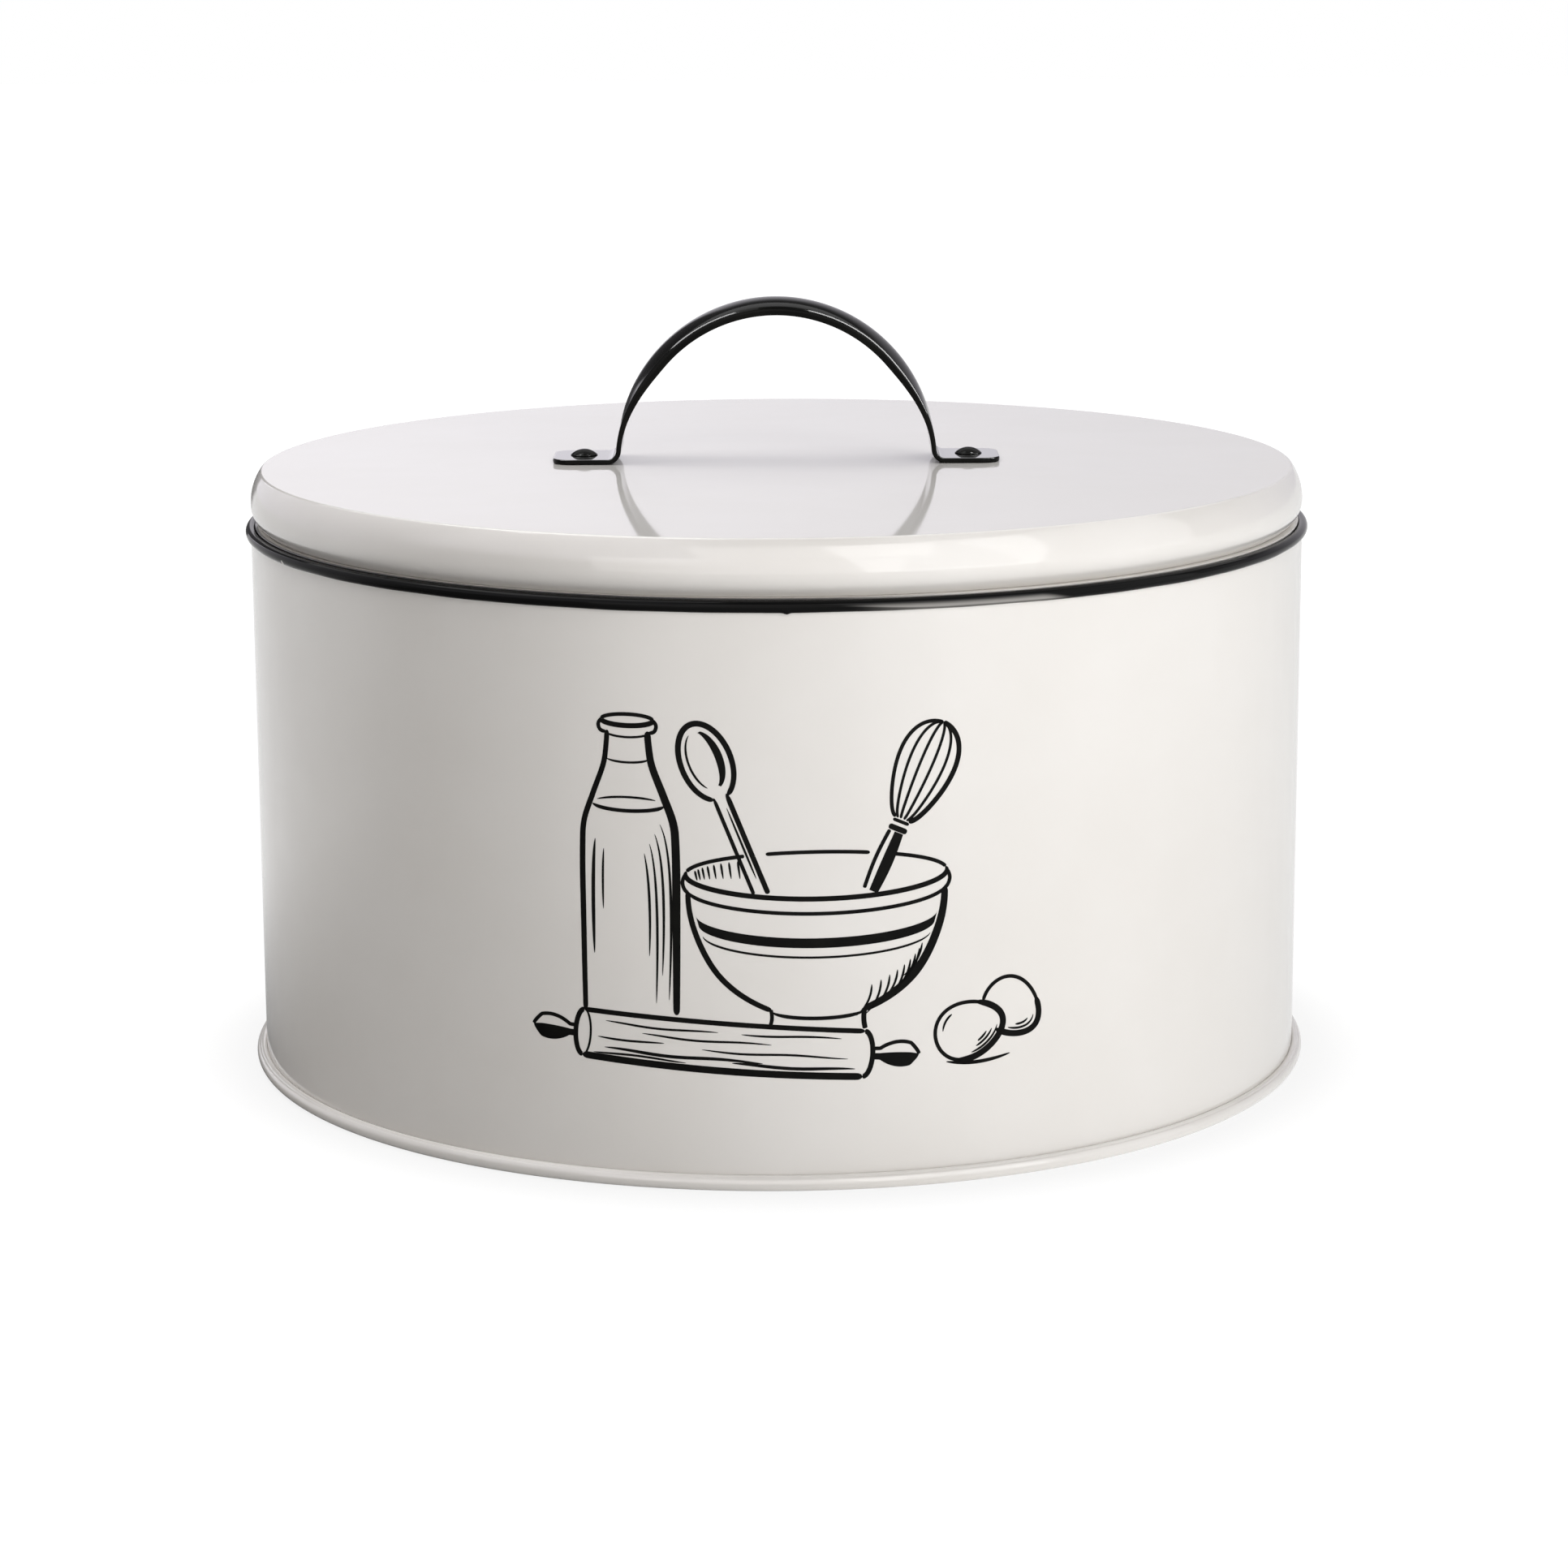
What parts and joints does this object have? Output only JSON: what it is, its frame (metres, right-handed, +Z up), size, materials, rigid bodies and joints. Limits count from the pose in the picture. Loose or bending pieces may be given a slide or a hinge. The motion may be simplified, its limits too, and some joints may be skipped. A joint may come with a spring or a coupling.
{
  "type": "round bread tin with lift-off lid",
  "caption": "Round enamelled sheet-metal bread tin with a black rolled rim, seamed base and a lift-off lid that carries a riveted strap handle.",
  "frame": {"origin": "on the tin's axis, at the plane that the base ring stands on", "axes": "+Z up along the tin's axis, +X along the handle from its left foot to its right foot, -Y towards the printed front"},
  "size_m": [0.3056, 0.3056, 0.2177],
  "materials": {
    "cream_enamel": "glossy cream enamel on sheet steel",
    "black_enamel": "glossy black enamel on steel",
    "washer_steel": "plain zinc-plated steel"
  },
  "bodies": {
    "tin": {"body_wall": "cream_enamel", "rim_roll": "black_enamel", "base_plate": "cream_enamel"},
    "lid": {"lid_panel": "cream_enamel", "lid_neck": "cream_enamel", "handle_strap": "black_enamel", "left_rivet": "black_enamel", "right_rivet": "black_enamel", "left_washer": "washer_steel", "right_washer": "washer_steel"}
  },
  "joints": [
    {"name": "lid_lift", "type": "slide", "parent": "tin", "child": "lid", "axis": [0, 0, 1], "range_m": [0, 0.15]}
  ]
}
